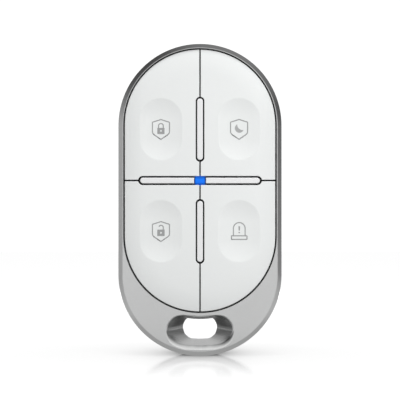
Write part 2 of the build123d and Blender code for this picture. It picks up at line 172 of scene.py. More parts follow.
def rounded(cx, cz, w, h, r, n=8):
    """A closed rectangle with rounded corners."""
    pts, nors = [], []
    for k, (sx, sz) in enumerate(((1, 1), (-1, 1), (-1, -1), (1, -1))):
        p, m = arc(cx + sx * (w / 2 - r), cz + sz * (h / 2 - r), r, k * math.pi / 2, (k + 1) * math.pi / 2, n)
        pts += p
        nors += m
    return pts, nors


def inside(loops, pts):
    """Even-odd test of points against closed loops."""
    pts = np.asarray(pts, float)
    hit = np.zeros(len(pts), bool)
    for loop in loops:
        a = np.asarray(loop, float)
        b = np.roll(a, -1, axis=0)
        for k in range(0, len(pts), 2000):
            x, z = pts[k:k + 2000, 0:1], pts[k:k + 2000, 1:2]
            with np.errstate(divide="ignore", invalid="ignore"):
                cross = ((a[:, 1] > z) != (b[:, 1] > z)) & (
                    x < (b[:, 0] - a[:, 0]) * (z - a[:, 1]) / (b[:, 1] - a[:, 1]) + a[:, 0])
            hit[k:k + 2000] ^= (cross.sum(axis=1) % 2).astype(bool)
    return hit


def cap(shape, loops, y_of, n_of, extra=(), slot=0):
    """Fills the region between closed loops with triangles on the surface y_of(x, z)."""
    pts, edges = [], []
    for loop in loops:
        k = len(pts)
        pts += [tuple(p) for p in loop]
        edges += [(k + i, k + (i + 1) % len(loop)) for i in range(len(loop))]
    pts += [tuple(p) for p in extra]
    out = delaunay_2d_cdt([Vector(p) for p in pts], edges, [], 0, 1e-7)
    source = [o[0] if o else None for o in out[3]]
    where = [pts[s] if s is not None else (v[0], v[1]) for s, v in zip(source, out[0])]
    tris = [f for f in out[2]]
    mids = [np.mean([where[i] for i in f], axis=0) for f in tris]
    keep = inside(loops, mids)
    ys = [y_of(*w) for w in where]
    ns = [n_of(*w) for w in where]
    for f, k in zip(tris, keep):
        if k:
            shape.face([(where[i][0], ys[i], where[i][1]) for i in f], [ns[i] for i in f], slot)


def flat(y):
    return lambda x, z: y


FRONT = lambda x, z: (0, -1, 0)
BACK = lambda x, z: (0, 1, 0)


def loop_of(segments):
    pts = []
    for p, _ in segments:
        pts += p[:-1] if len(p) > 1 else p
    return pts


def slab(shape, outline, y0, y1, r0=0.0, r1=0.0, n=5, holes0=(), holes1=(), top=None, top_n=None, extra=(), slot=0,
         skirt=None, skirt_slot=1):
    """A solid between depths y0 and y1 whose outline(t) is a list of segments inset by t; r0 and r1 round its edges.
    Below the depth skirt its walls and back take another material; for the keys and dividers that is a near-black one,
    painted shade in the grooves."""
    base = top or flat(y0)
    base_n = top_n or FRONT
    rows = []

    def ring(t, dy, cosine, sine, from_back=False):
        out = []
        for pts, nors in outline(t):
            row, nn = [], []
            for p, m in zip(pts, nors):
                if from_back:
                    row.append((p[0], y1 - dy, p[1]))
                    nn.append((m[0] * sine, cosine, m[1] * sine))
                else:
                    f = base_n(*p)
                    row.append((p[0], base(*p) + dy, p[1]))
                    nn.append((m[0] * sine + f[0] * cosine, f[1] * cosine, m[1] * sine + f[2] * cosine))
            out.append((row, nn))
        return out

    if r0 > 0:
        for k in range(n + 1):
            a = k / n * math.pi / 2
            rows.append(ring(r0 * (1 - math.sin(a)), r0 * (1 - math.cos(a)), math.cos(a), math.sin(a)))
    else:
        rows.append(ring(0, 0, 0, 1))
    split = 10 ** 6
    if skirt is not None:
        rows.append(ring(0, skirt, 0, 1))
        split = len(rows) - 1
    if r1 > 0:
        for k in range(n, -1, -1):
            a = k / n * math.pi / 2
            rows.append(ring(r1 * (1 - math.sin(a)), r1 * (1 - math.cos(a)), math.cos(a), math.sin(a), True))
    else:
        rows.append(ring(0, 0, 0, 1, True))
    for k, (a, b) in enumerate(zip(rows[:-1], rows[1:])):
        for (pa, na), (pb, nb) in zip(a, b):
            shape.strip(pa, pb, na, nb, closed=False, slot=skirt_slot if k >= split else slot)
    cap(shape, [loop_of(outline(r0))] + [h for h in holes0], base, base_n, extra, slot)
    cap(shape, [loop_of(outline(r1))] + [h for h in holes1], flat(y1), BACK, (), slot if skirt is None else skirt_slot)


def closed_segment(maker):
    """Turns a closed outline maker(t) -> (points, normals) into the segment form."""
    def outline(t):
        p, m = maker(t)
        return [(p + p[:1], m + m[:1])]
    return outline


def wall(shape, pts, nors, y0, y1, outward=True, slot=0):
    s = 1 if outward else -1
    n3 = [(m[0] * s, 0, m[1] * s) for m in nors]
    shape.strip(at(pts, y0), at(pts, y1), n3, n3, True, slot)


def tube(shape, x, z, r, y0, y1, bore=0.0, n=32, chamfer=0.0, slot=0):
    """A closed round peg or sleeve along Y."""
    outer = closed_segment(lambda t: circle(x, z, r - t, n))
    if bore:
        p, m = circle(x, z, bore, n)
        slab(shape, outer, y0, y1, chamfer, chamfer, 2, holes0=[p], holes1=[p], slot=slot)
        wall(shape, p, m, y0, y1, outward=False, slot=slot)
    else:
        slab(shape, outer, y0, y1, chamfer, chamfer, 2, slot=slot)


def brick(shape, x0, x1, y0, y1, z0, z1, r=0.05, slot=0):
    def outline(t):
        return [line((x0 + t, z0 + t), (x1 - t, z0 + t), (0, -1)), line((x1 - t, z0 + t), (x1 - t, z1 - t), (1, 0)),
                line((x1 - t, z1 - t), (x0 + t, z1 - t), (0, 1)), line((x0 + t, z1 - t), (x0 + t, z0 + t), (-1, 0))]
    slab(shape, outline, y0, y1, r, r, 2, slot=slot)


# ---------------------------------------------------------------------------
# Node materials
# ---------------------------------------------------------------------------
class Nodes:
    def __init__(self, name):
        self.mat = bpy.data.materials.new(name)
        self.mat.use_nodes = True
        self.tree = self.mat.node_tree
        self.tree.nodes.clear()
        self.out = self.add("ShaderNodeOutputMaterial")
        self.bsdf = self.add("ShaderNodeBsdfPrincipled")
        self.link(self.bsdf.outputs["BSDF"], self.out.inputs["Surface"])
        self.coord = self.add("ShaderNodeTexCoord").outputs["Object"]

    def add(self, kind, **values):
        node = self.tree.nodes.new(kind)
        for k, v in values.items():
            setattr(node, k, v)
        return node

    def link(self, a, b):
        self.tree.links.new(a, b)

    def noise(self, scale, detail=2.0, rough=0.5, stretch=None, distortion=0.0):
        """Noise over the object's own coordinates; scale is in cycles per metre."""
        n = self.add("ShaderNodeTexNoise")
        n.inputs["Scale"].default_value = scale
        n.inputs["Detail"].default_value = detail
        n.inputs["Roughness"].default_value = rough
        n.inputs["Distortion"].default_value = distortion
        src = self.coord
        if stretch:
            m = self.add("ShaderNodeMapping")
            m.inputs["Scale"].default_value = stretch
            self.link(src, m.inputs["Vector"])
            src = m.outputs["Vector"]
        self.link(src, n.inputs["Vector"])
        return n.outputs["Fac"]

    def ramp(self, fac, stops, mode="LINEAR"):
        r = self.add("ShaderNodeValToRGB")
        r.color_ramp.interpolation = mode
        el = r.color_ramp.elements
        while len(el) < len(stops):
            el.new(0.5)
        for e, (p, c) in zip(el, stops):
            e.position = p
            e.color = (*c, 1) if len(c) == 3 else c
        self.link(fac, r.inputs["Fac"])
        return r.outputs["Color"]

    def remap(self, value, a, b, c, d, kind="LINEAR"):
        m = self.add("ShaderNodeMapRange", interpolation_type=kind)
        for k, v in zip(("From Min", "From Max", "To Min", "To Max"), (a, b, c, d)):
            m.inputs[k].default_value = v
        self.link(value, m.inputs["Value"])
        return m.outputs["Result"]

    def math(self, op, a, b=None, c=None):
        m = self.add("ShaderNodeMath", operation=op)
        for k, v in enumerate((a, b, c)):
            if v is None:
                continue
            if isinstance(v, (int, float)):
                m.inputs[k].default_value = v
            else:
                self.link(v, m.inputs[k])
        return m.outputs["Value"]

    def mix(self, fac, a, b, blend="MIX"):
        m = self.add("ShaderNodeMix", data_type="RGBA", blend_type=blend)
        for k, v in ((0, fac), (6, a), (7, b)):
            if isinstance(v, (int, float)):
                m.inputs[k].default_value = v
            elif isinstance(v, tuple):
                m.inputs[k].default_value = (*v, 1) if len(v) == 3 else v
            else:
                self.link(v, m.inputs[k])
        return m.outputs[2]

    def bump(self, height, strength, distance, normal=None):
        b = self.add("ShaderNodeBump")
        b.inputs["Strength"].default_value = strength
        b.inputs["Distance"].default_value = distance
        self.link(height, b.inputs["Height"])
        if normal is not None:
            self.link(normal, b.inputs["Normal"])
        return b.outputs["Normal"]

    def xyz(self):
        s = self.add("ShaderNodeSeparateXYZ")
        self.link(self.coord, s.inputs[0])
        return s.outputs[0], s.outputs[1], s.outputs[2]

    def set(self, **values):
        for k, v in values.items():
            s = self.bsdf.inputs[k.replace("_", " ")]
            if isinstance(v, (int, float, tuple)):
                s.default_value = v
            else:
                self.link(v, s)
        return self.mat


def shade(c, k):
    return tuple(min(1.0, v * k) for v in c)


def plastic(name, colour, rough, grain=9000.0, grain_depth=4e-6, grain_strength=0.25, vary=0.03, spread=0.05, coat=0.0, painted_side_shade=0.0):
    n = Nodes(name)
    broad = n.noise(90.0, 3.0, 0.55)
    fine = n.noise(1500.0, 2.0, 0.5)
    both = n.math("ADD", n.math("MULTIPLY", broad, 0.7), n.math("MULTIPLY", fine, 0.3))
    colour_out = n.ramp(both, [(0.3, shade(colour, 1 - vary)), (0.7, shade(colour, 1 + vary))])
    if painted_side_shade:
        # painted shade: a little darker towards the left and right ends, where less light falls on the crowned key
        # faces
        x, y, z = n.xyz()
        colour_out = n.mix(1.0, colour_out, n.remap(n.math("ABSOLUTE", x), 0.0122, 0.0158, 1.0, 1.0 - painted_side_shade), "MULTIPLY")
    rough_out = n.remap(n.noise(2600.0, 3.0, 0.6), 0.3, 0.7, rough - spread, rough + spread)
    normal = n.bump(n.noise(grain, 3.0, 0.6), grain_strength, grain_depth)
    return n.set(Base_Color=colour_out, Roughness=rough_out, Normal=normal, Coat_Weight=coat)


def metal(name, colour, rough, grain=6000.0, grain_depth=3e-6, grain_strength=0.3, vary=0.03, spread=0.05, stretch=None):
    n = Nodes(name)
    broad = n.noise(120.0, 3.0, 0.55)
    fine = n.noise(2200.0, 2.0, 0.5, stretch)
    both = n.math("ADD", n.math("MULTIPLY", broad, 0.6), n.math("MULTIPLY", fine, 0.4))
    colour_out = n.ramp(both, [(0.3, shade(colour, 1 - vary)), (0.7, shade(colour, 1 + vary))])
    rough_out = n.remap(n.noise(3000.0, 3.0, 0.6, stretch), 0.3, 0.7, rough - spread, rough + spread)
    normal = n.bump(n.noise(grain, 3.0, 0.6, stretch), grain_strength, grain_depth)
    return n.set(Base_Color=colour_out, Roughness=rough_out, Metallic=1.0, Normal=normal)


SATIN = metal("satin_frame_bead_blasted", (0.70, 0.705, 0.703), 0.34, grain=9000.0, grain_depth=3e-6, grain_strength=0.25,
              vary=0.02, spread=0.03)
SATIN_EYE = metal("satin_frame_turned_eye", (0.70, 0.705, 0.703), 0.20, grain=9000.0, grain_depth=2e-6, grain_strength=0.2,
                  vary=0.02, spread=0.02)
# the keys darken by up to 6% towards their left and right ends: painted shade
KEY = plastic("key_white_moulded", (0.795, 0.811, 0.806), 0.42, grain=12000.0, grain_depth=2e-6, grain_strength=0.2,
              vary=0.012, spread=0.04, painted_side_shade=0.06)
# near-black walls below the key and divider edges: painted shade in the seams between them
PAINTED_GROOVE_SHADE = plastic("groove_walls_painted_shade", (0.030, 0.030, 0.031), 0.6, vary=0.12)
# near-black pocket wall of the frame: painted shade in the gap round the keys
PAINTED_POCKET_SHADE = plastic("pocket_wall_painted_shade", (0.028, 0.028, 0.029), 0.55, vary=0.12)
BAR = plastic("divider_white_gloss", (0.79, 0.795, 0.80), 0.3, grain=9000.0, grain_depth=1.5e-6, grain_strength=0.15,
              vary=0.01, spread=0.03)
INK = plastic("printed_ink_grey", (0.33, 0.335, 0.335), 0.55, grain=20000.0, grain_depth=2e-6, grain_strength=0.3,
              vary=0.06, spread=0.06)
INK_LIGHT = plastic("printed_ink_light_grey", (0.405, 0.41, 0.41), 0.55, grain=20000.0, grain_depth=2e-6, grain_strength=0.3,
                    vary=0.06, spread=0.06)
COVER = plastic("cover_plastic_spark_texture", (0.72, 0.725, 0.722), 0.5, grain=4500.0, grain_depth=12e-6,
                grain_strength=0.5, vary=0.02, spread=0.06)
SCREW = metal("screw_plated_steel", (0.50, 0.50, 0.49), 0.3, grain=5000.0, vary=0.06, spread=0.08)
# darker metal in the screws' cross recesses: painted shade
PAINTED_RECESS_SHADE = metal("screw_recess_painted_shade", (0.22, 0.22, 0.22), 0.45, vary=0.1)


def lens_material():
    n = Nodes("status_lens_blue_lit")
    x, y, z = n.xyz()
    up = n.remap(z, (Z_CROSS - LENS_Z) * MM, (Z_CROSS + LENS_Z) * MM, 0.0, 1.0)
    cloud = n.math("MULTIPLY", n.math("SUBTRACT", n.noise(1400.0, 2.0), 0.5), 0.12)
    up = n.math("ADD", up, cloud)
    glow = n.ramp(up, [(0.0, (0.0, 0.085, 0.45)), (0.22, (0.0, 0.12, 0.64)), (0.66, (0.0, 0.135, 0.68)),
                       (0.84, (0.0, 0.10, 0.50)), (1.0, (0.0, 0.09, 0.46))])
    side = n.math("ABSOLUTE", x)
    edge = n.remap(side, 0.80 * MM, 1.06 * MM, 1.0, 0.55)
    glow = n.mix(1.0, glow, edge, "MULTIPLY")
    glow = n.mix(1.0, glow, n.remap(side, 1.11 * MM, 1.17 * MM, 1.0, 0.03), "MULTIPLY")
    rough = n.remap(n.noise(3000.0), 0.3, 0.7, 0.16, 0.24)
    return n.set(Base_Color=n.mix(0.5, glow, (0.0, 0.02, 0.15)), Roughness=rough, Emission_Color=glow,
                 Emission_Strength=0.85, Specular_IOR_Level=0.22)


LENS = lens_material()


# ---------------------------------------------------------------------------
# Key-ring eye: outlines as distances from EYE_AT, every ten degrees from straight up to straight down
# ---------------------------------------------------------------------------
EYE_AT = 5.41
MOUTH = (3.19, 3.25, 3.49, 3.85, 4.38, 5.28, 6.18, 6.76, 7.16, 7.25, 7.12, 6.97, 6.45, 5.81, 5.26, 4.77, 4.39, 4.22, 4.17)
LIP_END = (2.75, 2.79, 2.97, 3.30, 3.91, 4.80, 5.71, 6.30, 6.70, 6.77, 6.50, 5.95, 5.28, 4.52, 3.95, 3.49, 3.30, 3.19, 3.13)
THROAT_SIDE = (3.30, 3.32, 3.42, 3.54, 3.66, 3.79, 3.79, 3.76, 3.64, 3.41, 3.24, 2.94, 2.70, 2.42, 2.11, 1.88, 1.775, 1.70, 1.67)
THROAT_TOP_R = 17.46
D_LIP = 0.33
THROAT_Y = (2.2, 3.2)
N_EYE = 180


def polar(table, degrees):
    """Distance at an angle in degrees from the horizontal, from a table that runs from 90 down to -90."""
    x = (90 - degrees) / 10
    n = len(table)
    i = min(n - 2, int(x))
    t = x - i
    at_ = lambda k: table[-k] if k < 0 else table[2 * n - 2 - k] if k >= n else table[k]
    p0, p1, p2, p3 = at_(i - 1), at_(i), at_(i + 1), at_(i + 2)
    return p1 + 0.5 * t * (p2 - p0 + t * (2 * p0 - 5 * p1 + 4 * p2 - p3 + t * (3 * (p1 - p2) + p3 - p0)))


def top_arc(degrees):
    """Distance to the throat's upper edge, an arc about the key field's lower centre."""
    c, s = math.cos(math.radians(degrees)), math.sin(math.radians(degrees))
    h = ZC_LOW - EYE_AT
    q = h * h * s * s - h * h + THROAT_TOP_R ** 2
    return h * s - math.sqrt(q) if q > 0 and s > 0 else 99.0


def throat(degrees):
    """The throat's outline, moved for the depth at which it is seen."""
    r = min(polar(THROAT_SIDE, degrees), top_arc(degrees))
    x, z = r * math.cos(math.radians(degrees)), EYE_AT + r * math.sin(math.radians(degrees))
    k = (450 + THROAT_Y[0] + (THROAT_Y[1] - THROAT_Y[0]) * smooth_step((30 - degrees) / 45)) / 444.1
    return x * k, EYE_Z + (z - EYE_Z) * k


EYE_Z = 32.98


def smooth_step(t):
    t = max(0.0, min(1.0, t))
    return t * t * (3 - 2 * t)


def corner_angle():
    a, b = 30.0, 60.0
    for _ in range(40):
        m = (a + b) / 2
        if polar(THROAT_SIDE, m) < top_arc(m):
            a = m
        else:
            b = m
    return (a + b) / 2


def eye_angles():
    half = [90 - 180 * i / (N_EYE // 2) for i in range(N_EYE // 2 + 1)]
    c = corner_angle()
    k = min(range(len(half)), key=lambda i: abs(half[i] - c))
    half[k] = c
    return half


def whole(half):
    return half + [(-x, z) for x, z in reversed(half[1:-1])]


def around(table):
    out = []
    for d in eye_angles():
        r = polar(table, d)
        out.append((0.0 if abs(d) == 90 else r * math.cos(math.radians(d)), EYE_AT + r * math.sin(math.radians(d))))
    return whole(out)


MOUTH_LOOP, LIP_LOOP = around(MOUTH), around(LIP_END)
EYE_LOOP = whole([(0.0 if abs(d) == 90 else throat(d)[0], throat(d)[1]) for d in eye_angles()])


def outward_of(loop):
    """Outward normals of a closed clockwise or counter-clockwise loop."""
    p = np.asarray(loop)
    d = np.roll(p, -1, axis=0) - np.roll(p, 1, axis=0)
    d /= np.linalg.norm(d, axis=1)[:, None]
    n = np.stack([d[:, 1], -d[:, 0]], axis=1)
    mid = p.mean(axis=0)
    if np.sum(n * (p - mid)) < 0:
        n = -n
    return [tuple(v) for v in n]


def lip_rows():
    """Closed rings (x, z, depth) of the rounded lip, from the face plane to the funnel's edge."""
    rows = []
    for i in range(15):
        t = i / 14
        f0, f1, f2 = (1 - t) ** 2, 2 * t * (1 - t), t * t
        rows.append([(a[0] * (f0 + f1 / 2) + w[0] * (f2 + f1 / 2), a[1] * (f0 + f1 / 2) + w[1] * (f2 + f1 / 2), D_LIP * f2)
                     for a, w in zip(MOUTH_LOOP, LIP_LOOP)])
    return rows


def funnel_rows(depth):
    """Closed rings of the funnel, from the lip down to the throat at the given depth."""
    return [[(w[0] + (e[0] - w[0]) * t, w[1] + (e[1] - w[1]) * t, D_LIP + (depth - D_LIP) * t)
             for w, e in zip(LIP_LOOP, EYE_LOOP)] for t in (i / 14 for i in range(15))]


def grid_normals(rows):
    """Normals of a grid of closed rings by central differences, pointing to the open side (towards -Y)."""
    g = np.asarray(rows, float)                      # ring, point, (x, y, z)
    du = np.roll(g, -1, axis=1) - np.roll(g, 1, axis=1)
    dv = np.empty_like(g)
    dv[1:-1] = g[2:] - g[:-2]
    dv[0] = g[1] - g[0]
    dv[-1] = g[-1] - g[-2]
    n = np.cross(du, dv)
    n /= np.maximum(np.linalg.norm(n, axis=2), 1e-12)[:, :, None]
    away = g - np.array([0, 0, EYE_AT])
    away[:, :, 1] = 0
    n[np.sum(n * away, axis=2) > 0] *= -1
    return n


def add_flare(shape, y_face, depth):
    """The flared mouth in the face at y_face (towards -Y), down to the throat."""
    for part in (lip_rows(), funnel_rows(depth)):
        rows = [[(x, y_face + d, z) for x, z, d in row] for row in part]
        n = grid_normals(rows)
        if part[0][0][2] == 0:
            n[0] = (0, -1, 0)
        shape.rings(rows, [[tuple(v) for v in r] for r in n], slot=2)
    return list(MOUTH_LOOP)


# ---------------------------------------------------------------------------
# Frame
# ---------------------------------------------------------------------------
def sweep(shape, profile, z0, z1, n=46, side=26, slot=0):
    """A pill swept along a profile of (radius, y, outward, front) points; a None breaks it."""
    last = None
    for item in profile:
        if item is None:
            last = None
            continue
        r, y, s, f = item
        pts, nors = pill(r, z0, z1, n, side)
        row, nn = at(pts, y), tilt(nors, s, f)
        if last:
            shape.strip(last[0], row, last[1], nn, slot=slot)
        last = (row, nn)


def build_frame():
    s = Shape()
    # flat face, a small radius, a 45 degree bevel, a small radius, the side wall; the same at the back
    edge = []
    t = BEVEL_R * math.tan(math.pi / 8)
    for k in range(6):
        a = k / 5 * math.pi / 4
        edge.append((R_OUT - BEVEL - t + BEVEL_R * math.sin(a), BEVEL_R * (1 - math.cos(a)), math.sin(a), math.cos(a)))
    q = BEVEL_R2 * math.tan(math.pi / 8)
    for k in range(6):
        a = math.pi / 4 + k / 5 * math.pi / 4
        edge.append((R_OUT - BEVEL_R2 * (1 - math.sin(a)), BEVEL + q - BEVEL_R2 * math.cos(a), math.sin(a), math.cos(a)))
    prof = [(r, Y_RIM + d, side, front) for r, d, side, front in edge]
    y0, y1 = Y_RIM + BEVEL + q, Y_BACK - BEVEL - q
    prof += [(R_OUT, y0 + (y1 - y0) * k / 6, 1, 0) for k in range(1, 7)]
    prof += [(r, Y_BACK - d, side, -front) for r, d, side, front in reversed(edge)]
    sweep(s, prof, Z_OUT0, Z_OUT1, n=56, side=30)

    c = 0.07
    pocket = []
    for k in range(4):
        a = k / 3 * math.pi / 2
        pocket.append((R_POCKET + c * (1 - math.sin(a)), Y_RIM + c * (1 - math.cos(a)), -math.sin(a), math.cos(a)))
    pocket += [(R_POCKET, Y_RIM + 0.16, -1, 0)]
    sweep(s, pocket, ZC_LOW, ZC_TOP)
    # below its rounded edge the pocket wall is near-black: painted shade in the gap round the keys
    sweep(s, [(R_POCKET, Y_RIM + 0.16, -1, 0), (R_POCKET, -3.30, -1, 0)], ZC_LOW, ZC_TOP, slot=1)
    pocket = [(R_LEDGE, -3.30, -1, 0), (R_LEDGE, -0.90, -1, 0), None]
    pocket += [(R_CAVITY, -0.90, -1, 0), (R_CAVITY, 4.60, -1, 0), None]
    pocket += [(R_CAVITY, 4.60, 0, -1), (R_POCKET, 4.60, 0, -1), None]
    pocket += [(R_POCKET, 4.60, -1, 0)]
    for k in range(4):
        a = (1 - k / 3) * math.pi / 2
        pocket.append((R_POCKET + c * (1 - math.sin(a)), Y_BACK - c * (1 - math.cos(a)), -math.sin(a), -math.cos(a)))
    sweep(s, pocket, ZC_LOW, ZC_TOP)

    mouth = add_flare(s, Y_RIM, THROAT_Y[0] - Y_RIM)
    back = Shape(flip=True)
    back.index, back.co, back.faces, back.normals, back.slots = s.index, s.co, s.faces, s.normals, s.slots
    mouth_back = add_flare(back, -Y_BACK, Y_BACK - THROAT_Y[1])
    wall(s, EYE_LOOP, outward_of(EYE_LOOP), THROAT_Y[0], THROAT_Y[1], outward=False, slot=2)

    outer = pill(R_OUT - BEVEL - t, Z_OUT0, Z_OUT1, 56, 30)[0]
    cap(s, [outer, pill(R_POCKET + c)[0], mouth], flat(Y_RIM), FRONT)
    cap(s, [outer, pill(R_POCKET + c)[0], mouth_back], flat(Y_BACK), BACK)
    # the ledge, with the clearance holes of the deck's bosses
    holes = [circle(sx * 13.6, z, 1.15, 28) for sx in (-1, 1) for z in (31.0, 43.3)]
    hole_pts = [h[0] for h in holes]
    cap(s, [pill(R_POCKET)[0], pill(R_LEDGE)[0]] + hole_pts, flat(-3.30), FRONT)
    cap(s, [pill(R_CAVITY)[0], pill(R_LEDGE)[0]] + hole_pts, flat(-0.90), BACK)
    for p, m in holes:
        wall(s, p, m, -3.30, -0.90, outward=False)
    # columns that take the cover screws
    for sx in (-1, 1):
        tube(s, sx * 10.4, 16.6, 2.2, -0.95, 4.0, bore=1.0, n=36)
    return s.make("frame_shell", [SATIN, PAINTED_POCKET_SHADE, SATIN_EYE], "fob", ["front_frame"])


build_frame()


# ---------------------------------------------------------------------------
# Keys
# ---------------------------------------------------------------------------
def edge_distance(x, z):
    """How far a point lies inside the key field's outline."""
    zc = min(max(z, ZC_LOW), ZC_TOP)
    return R_KEYS - math.hypot(x, z - zc)


def face_y(x, z):
    """Depth of the key faces: a low crown towards the outline, and one finger dish in each key."""
    s = edge_distance(x, z)
    y = Y_KEY
    if s < CROWN_W:
        y += CROWN_D * (1 - s / CROWN_W) ** 2
    dz = z - (DISH_Z_UP if z > Z_CROSS else DISH_Z_LOW)
    dx = abs(x) - DISH_X
    half = DISH_W / 2
    straight = (DISH_H - DISH_W) / 2
    rho = math.hypot(dx, max(0.0, abs(dz) - straight)) / half
    if rho < 1.6:
        q = 1 - rho * rho
        y += DISH_D * 0.5 * (q + math.sqrt(q * q + 0.0016))
    return y


def face_normal(x, z):
    e = 0.01
    gx = (face_y(x + e, z) - face_y(x - e, z)) / (2 * e)
    gz = (face_y(x, z + e) - face_y(x, z - e)) / (2 * e)
    v = np.array((gx, -1.0, gz))
    v /= np.linalg.norm(v)
    return tuple(v)


def key_outline(sx, upper):
    """Segments of one key's outline, inset by t."""
    sz = 1 if upper else -1
    wc = abs((ZC_TOP if upper else ZC_LOW) - Z_CROSS)
    span = SLOT_UP if upper else SLOT_LOW
    near, far = sorted(abs(v - Z_CROSS) for v in span)
    wv0, wv1, uh = near + DIV_HALF + DIV_GAP, far - DIV_HALF - DIV_GAP, SLOT_X - CROSS_HALF - CROSS_GAP
    pi = math.pi

    def outline(t):
        R, rd, su, sw = R_KEYS - t, DIV_HALF + DIV_GAP + t, SEAM_V / 2 + t, SEAM_H / 2 + t
        rx = CROSS_HALF + CROSS_GAP + t
        top = wc + math.sqrt(R * R - su * su)
        a0 = math.asin((top - wc) / R)
        b0 = math.asin(sw / rx)
        c0 = math.acos(su / rd)
        segs = [
            arc(0, wc, R, a0, 0, 96),
            line((R, wc), (R, sw), (1, 0), 34),
            line((R, sw), (uh + math.sqrt(rx * rx - sw * sw), sw), (0, -1), 9),
            arc(uh, 0, rx, b0, pi / 2, 12, inward=True),
            line((uh, rx), (su, rx), (0, -1), 36),
            line((su, rx), (su, wv0 - math.sqrt(rd * rd - su * su)), (-1, 0), 10),
            arc(0, wv0, rd, -c0, 0, 12, inward=True),
            line((rd, wv0), (rd, wv1), (-1, 0), 36),
            arc(0, wv1, rd, 0, c0, 12, inward=True),
            line((su, wv1 + math.sqrt(rd * rd - su * su)), (su, top), (-1, 0), 30),
        ]
        return [([(sx * u, Z_CROSS + sz * w) for u, w in p], [(sx * a, sz * b) for a, b in m]) for p, m in segs]
    return outline


def key_extra(sx, upper, outline):
    """Points inside a key's face: a grid, and rings that follow the dish's rim."""
    zc = DISH_Z_UP if upper else DISH_Z_LOW
    straight = (DISH_H - DISH_W) / 2
    rings = []
    for rho in (0.84, 0.91, 0.955, 0.98, 1.0, 1.02, 1.045, 1.09, 1.16):
        rings += pill(rho * DISH_W / 2, zc - straight, zc + straight, 16, 8)[0]
    rings = [(x + sx * DISH_X, z) for x, z in rings]
    step = 0.36
    grid = []
    for i in range(int(16.5 / step)):
        for j in range(int(28 / step) + 1):
            x = sx * (0.3 + i * step + (step / 2 if j % 2 else 0))
            z = Z_CROSS + (1 if upper else -1) * (0.3 + j * step)
            dz = max(0.0, abs(z - zc) - straight)
            rho = math.hypot(abs(x) - DISH_X, dz) / (DISH_W / 2)
            if 0.82 < rho < 1.19:
                continue
            grid.append((x, z))
    pts = np.asarray(rings + grid)
    keep = inside([loop_of(outline(0.42))], pts)
    return [tuple(p) for p, k in zip(pts, keep) if k]


KEYS = {"arm": (-1, True), "night": (1, True), "disarm": (-1, False), "panic": (1, False)}


def build_key(name, sx, upper):
    s = Shape()
    outline = key_outline(sx, upper)
    # below the skirt depth the key's walls and back are near-black: painted shade in the seams
    slab(s, outline, Y_KEY, Y_KEY_BACK, r0=0.10, n=4, top=face_y, top_n=face_normal, extra=key_extra(sx, upper, outline),
         skirt=0.20)
    zc = DISH_Z_UP if upper else DISH_Z_LOW
    tube(s, sx * DISH_X, zc, 1.5, Y_KEY_BACK - 0.1, -3.55, chamfer=0.1, slot=1)
    for z in ((40.6, 54.9) if upper else (18.9, 33.4)):
        x = sx * DISH_X
        brick(s, x - 0.55, x + 0.55, Y_KEY_BACK - 0.1, -2.95, z - 0.3, z + 0.3, slot=1)
        brick(s, x - 0.55, x + 0.55, -3.27, -2.95, z + 0.25, z + 0.62, slot=1)
    return s.make("key_cap_" + name, [KEY, PAINTED_GROOVE_SHADE], "key_" + name, ["button_" + name])


for key, (sx, upper) in KEYS.items():
    build_key(key, sx, upper)


# ---------------------------------------------------------------------------
# Printed marks: thin ink solids that follow the dish
# ---------------------------------------------------------------------------
def densify(points, step=0.14, closed=True):
    out = []
    n = len(points)
    for i in range(n if closed else n - 1):
        p, q = points[i], points[(i + 1) % n]
        k = max(1, math.ceil(math.dist(p, q) / step))
        out += [(p[0] + (q[0] - p[0]) * j / k, p[1] + (q[1] - p[1]) * j / k) for j in range(k)]
    if not closed:
        out.append(points[-1])
    return out


def offset(points, d):
    """A closed loop offset outwards by d, with mitred corners."""
    p = np.asarray(points, float)
    area = 0.5 * np.sum(p[:, 0] * np.roll(p[:, 1], -1) - np.roll(p[:, 0], -1) * p[:, 1])
    e = np.roll(p, -1, axis=0) - p
    e /= np.linalg.norm(e, axis=1)[:, None]
    n = np.stack([e[:, 1], -e[:, 0]], axis=1) * (1 if area > 0 else -1)
    m = n + np.roll(n, 1, axis=0)
    m /= np.linalg.norm(m, axis=1)[:, None]
    c = np.maximum(np.sum(m * n, axis=1), 0.35)
    return [tuple(v) for v in p + m * (d / c)[:, None]]


def stroke(points, w, closed=False):
    """The loop or loops round a line of width w."""
    if closed:
        return [offset(points, w / 2), offset(points, -w / 2)]
    p = np.asarray(points, float)
    d = np.gradient(p, axis=0)
    d /= np.linalg.norm(d, axis=1)[:, None]
    n = np.stack([d[:, 1], -d[:, 0]], axis=1)
    left, right = p + n * w / 2, p - n * w / 2
    return [[tuple(v) for v in left] + [tuple(v) for v in right[::-1]]]


def arc_pts(cx, cz, r, a0, a1, n):
    return arc(cx, cz, r, math.radians(a0), math.radians(a1), n)[0]


def ink(shape, loops, cx, cz, proud=0.012, sunk=0.02):
    """A closed ink solid over the even-odd region of the loops, on the key's face."""
    loops = [[(cx + x, cz + z) for x, z in densify(loop)] for loop in loops]
    top = lambda x, z: face_y(x, z) - proud
    low = lambda x, z: face_y(x, z) + sunk
    cap(shape, loops, top, face_normal)
    cap(shape, loops, low, lambda x, z: tuple(-v for v in face_normal(x, z)))
    for loop in loops:
        out = outward_of(loop)
        probe = [(p[0] + m[0] * 0.01, p[1] + m[1] * 0.01) for p, m in zip(loop, out)]
        if inside(loops, probe).mean() > 0.5:
            out = [(-a, -b) for a, b in out]
        n3 = [(m[0], 0, m[1]) for m in out]
        shape.strip([(x, top(x, z), z) for x, z in loop], [(x, low(x, z), z) for x, z in loop], n3, n3)


LINE = 0.23


